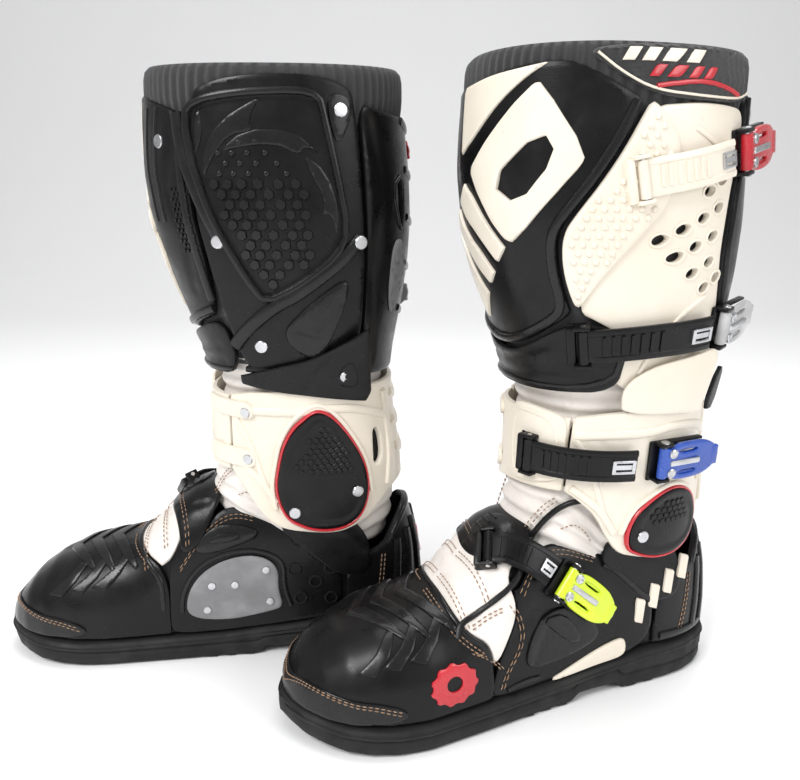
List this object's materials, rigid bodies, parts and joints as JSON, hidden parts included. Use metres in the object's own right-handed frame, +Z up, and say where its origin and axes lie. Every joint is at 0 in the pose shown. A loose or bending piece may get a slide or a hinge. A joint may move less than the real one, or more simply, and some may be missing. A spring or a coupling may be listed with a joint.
{
  "type": "motocross boots",
  "caption": "Pair of tall motocross boots with double-flex ankle braces, plastic shin and calf plates, hinged lever buckles with straps, and a flat rubber sole.",
  "frame": {"origin": "centre of the pair's bounding box at floor level", "axes": "+Z up; +X along the longest side of the pair, away from the right boot's toe; the boots point towards -X"},
  "size_m": [0.5172, 0.2291, 0.404],
  "materials": {
    "cream": "moulded plastic, satin",
    "black": "moulded plastic, matte",
    "leather": "coated hide",
    "rubber": "moulded rubber",
    "grey": "moulded plastic",
    "steel": "brushed",
    "fabric": "padded woven lining",
    "red": "moulded lever",
    "blue": "moulded lever",
    "lime": "moulded lever"
  },
  "bodies": {
    "left_foot": {"left_outsole": "rubber", "left_vamp": "leather", "left_toe_cap": "black", "left_heel_cup": "black", "left_outer_panel": "black", "left_inner_panel": "black", "left_shift_plate": "grey", "left_instep_anchor": "black", "left_instep_base": "black"},
    "left_ankle": {"left_ankle_brace": "cream", "left_front_plate": "cream", "left_pivot_covers": "black", "left_ankle_pivots": "steel", "left_ankle_base": "black"},
    "left_cuff": {"left_bootie": "fabric", "left_shin_plate": "black", "left_lower_shin_plate": "black", "left_calf_plate": "black", "left_outer_shell": "cream", "left_inner_guard": "black", "left_cuff_bases": "black", "left_cuff_screws": "steel"},
    "left_top_lever_body": {"left_top_lever": "red"},
    "left_top_strap_body": {"left_top_strap": "cream"},
    "left_calf_lever_body": {"left_calf_lever": "cream"},
    "left_calf_strap_body": {"left_calf_strap": "black"},
    "left_ankle_lever_body": {"left_ankle_lever": "blue"},
    "left_ankle_strap_body": {"left_ankle_strap": "black"},
    "left_instep_lever_body": {"left_instep_lever": "lime"},
    "left_instep_strap_body": {"left_instep_strap": "black"},
    "right_foot": {"right_outsole": "rubber", "right_vamp": "leather", "right_toe_cap": "black", "right_heel_cup": "black", "right_outer_panel": "black", "right_inner_panel": "black", "right_shift_plate": "grey", "right_instep_anchor": "black", "right_instep_base": "black"},
    "right_ankle": {"right_ankle_brace": "cream", "right_front_plate": "cream", "right_pivot_covers": "black", "right_ankle_pivots": "steel", "right_ankle_base": "black"},
    "right_cuff": {"right_bootie": "fabric", "right_shin_plate": "black", "right_lower_shin_plate": "black", "right_calf_plate": "black", "right_outer_shell": "cream", "right_inner_guard": "black", "right_cuff_bases": "black", "right_cuff_screws": "steel"},
    "right_top_lever_body": {"right_top_lever": "red"},
    "right_top_strap_body": {"right_top_strap": "cream"},
    "right_calf_lever_body": {"right_calf_lever": "cream"},
    "right_calf_strap_body": {"right_calf_strap": "black"},
    "right_ankle_lever_body": {"right_ankle_lever": "blue"},
    "right_ankle_strap_body": {"right_ankle_strap": "black"},
    "right_instep_lever_body": {"right_instep_lever": "lime"},
    "right_instep_strap_body": {"right_instep_strap": "black"}
  },
  "joints": [
    {"name": "right_boot_slide", "type": "slide", "parent": "left_foot", "child": "right_foot", "axis": [-0.9986, -0.0523, 0], "range_m": [0, 0.15]},
    {"name": "left_ankle_flex", "type": "hinge", "parent": "left_foot", "child": "left_ankle", "pos_m": [0.17103, -0.00647, 0.112], "axis": [0.3256, -0.9455, 0], "range_deg": [-8, 12]},
    {"name": "left_cuff_flex", "type": "hinge", "parent": "left_ankle", "child": "left_cuff", "pos_m": [0.17575, -0.00484, 0.178], "axis": [0.3256, -0.9455, 0], "range_deg": [-4, 9], "deforming": ["left_bootie"]},
    {"name": "left_top_lever_hinge", "type": "hinge", "parent": "left_cuff", "child": "left_top_lever_body", "pos_m": [0.22674, -0.05492, 0.3502], "axis": [0.146, 0.105, -0.9837], "range_deg": [0, 110]},
    {"name": "left_top_strap_hinge", "type": "hinge", "parent": "left_cuff", "child": "left_top_strap_body", "pos_m": [0.16103, -0.08823, 0.33495], "axis": [0.2006, 0.053, -0.9782], "range_deg": [0, 38.5]},
    {"name": "left_calf_lever_hinge", "type": "hinge", "parent": "left_cuff", "child": "left_calf_lever_body", "pos_m": [0.22439, -0.05243, 0.25039], "axis": [-0.0086, 0.1375, -0.9905], "range_deg": [0, 110]},
    {"name": "left_calf_strap_hinge", "type": "hinge", "parent": "left_cuff", "child": "left_calf_strap_body", "pos_m": [0.13621, -0.07838, 0.24338], "axis": [0.1433, 0.241, -0.9599], "range_deg": [0, 38.5]},
    {"name": "left_ankle_lever_hinge", "type": "hinge", "parent": "left_ankle", "child": "left_ankle_lever_body", "pos_m": [0.19296, -0.06007, 0.16836], "axis": [-0.0105, 0.0774, -0.9969], "range_deg": [0, 110]},
    {"name": "left_ankle_strap_hinge", "type": "hinge", "parent": "left_ankle", "child": "left_ankle_strap_body", "pos_m": [0.11198, -0.05287, 0.17114], "axis": [-0.0336, 0.0114, -0.9994], "range_deg": [0, 38.5]},
    {"name": "left_instep_lever_hinge", "type": "hinge", "parent": "left_foot", "child": "left_instep_lever_body", "pos_m": [0.13738, -0.06498, 0.09025], "axis": [-0.5479, -0.3666, -0.7519], "range_deg": [0, 110]},
    {"name": "left_instep_strap_hinge", "type": "hinge", "parent": "left_foot", "child": "left_instep_strap_body", "pos_m": [0.08809, -0.06039, 0.11275], "axis": [-0.0987, -0.7839, -0.613], "range_deg": [0, 38.5]},
    {"name": "right_ankle_flex", "type": "hinge", "parent": "right_foot", "child": "right_ankle", "pos_m": [-0.03171, 0.03916, 0.112], "axis": [0.0523, -0.9986, 0], "range_deg": [-8, 12]},
    {"name": "right_cuff_flex", "type": "hinge", "parent": "right_ankle", "child": "right_cuff", "pos_m": [-0.02671, 0.03942, 0.178], "axis": [0.0523, -0.9986, 0], "range_deg": [-4, 9], "deforming": ["right_bootie"]},
    {"name": "right_top_lever_hinge", "type": "hinge", "parent": "right_cuff", "child": "right_top_lever_body", "pos_m": [0.0018, 0.10495, 0.3502], "axis": [-0.1747, 0.0427, 0.9837], "range_deg": [0, 110]},
    {"name": "right_top_strap_hinge", "type": "hinge", "parent": "right_cuff", "child": "right_top_strap_body", "pos_m": [-0.0716, 0.11122, 0.33495], "axis": [-0.2059, -0.026, 0.9782], "range_deg": [0, 38.5]},
    {"name": "right_calf_lever_hinge", "type": "hinge", "parent": "right_cuff", "child": "right_calf_lever_body", "pos_m": [0.00055, 0.10176, 0.25039], "axis": [-0.0435, 0.1308, 0.9905], "range_deg": [0, 110]},
    {"name": "right_calf_strap_hinge", "type": "hinge", "parent": "right_cuff", "child": "right_calf_strap_body", "pos_m": [-0.09093, 0.09279, 0.24338], "axis": [-0.2231, 0.1697, 0.9599], "range_deg": [0, 38.5]},
    {"name": "right_ankle_lever_hinge", "type": "hinge", "parent": "right_ankle", "child": "right_ankle_lever_body", "pos_m": [-0.03145, 0.09708, 0.16836], "axis": [-0.0193, 0.0757, 0.9969], "range_deg": [0, 110]},
    {"name": "right_ankle_strap_hinge", "type": "hinge", "parent": "right_ankle", "child": "right_ankle_strap_body", "pos_m": [-0.10384, 0.06006, 0.17114], "axis": [0.0269, 0.0231, 0.9994], "range_deg": [0, 38.5]},
    {"name": "right_instep_lever_hinge", "type": "hinge", "parent": "right_foot", "child": "right_instep_lever_body", "pos_m": [-0.08482, 0.0808, 0.09025], "axis": [0.6453, -0.1346, 0.7519], "range_deg": [0, 110]},
    {"name": "right_instep_strap_hinge", "type": "hinge", "parent": "right_foot", "child": "right_instep_strap_body", "pos_m": [-0.1288, 0.05809, 0.11275], "axis": [0.3852, -0.6898, 0.613], "range_deg": [0, 38.5]}
  ],
  "couplings": [
    {"joint": "left_top_strap_hinge", "follows": "left_top_lever_hinge", "ratio": 0.35},
    {"joint": "left_calf_strap_hinge", "follows": "left_calf_lever_hinge", "ratio": 0.35},
    {"joint": "left_ankle_strap_hinge", "follows": "left_ankle_lever_hinge", "ratio": 0.35},
    {"joint": "left_instep_strap_hinge", "follows": "left_instep_lever_hinge", "ratio": 0.35},
    {"joint": "right_top_strap_hinge", "follows": "right_top_lever_hinge", "ratio": 0.35},
    {"joint": "right_calf_strap_hinge", "follows": "right_calf_lever_hinge", "ratio": 0.35},
    {"joint": "right_ankle_strap_hinge", "follows": "right_ankle_lever_hinge", "ratio": 0.35},
    {"joint": "right_instep_strap_hinge", "follows": "right_instep_lever_hinge", "ratio": 0.35}
  ]
}
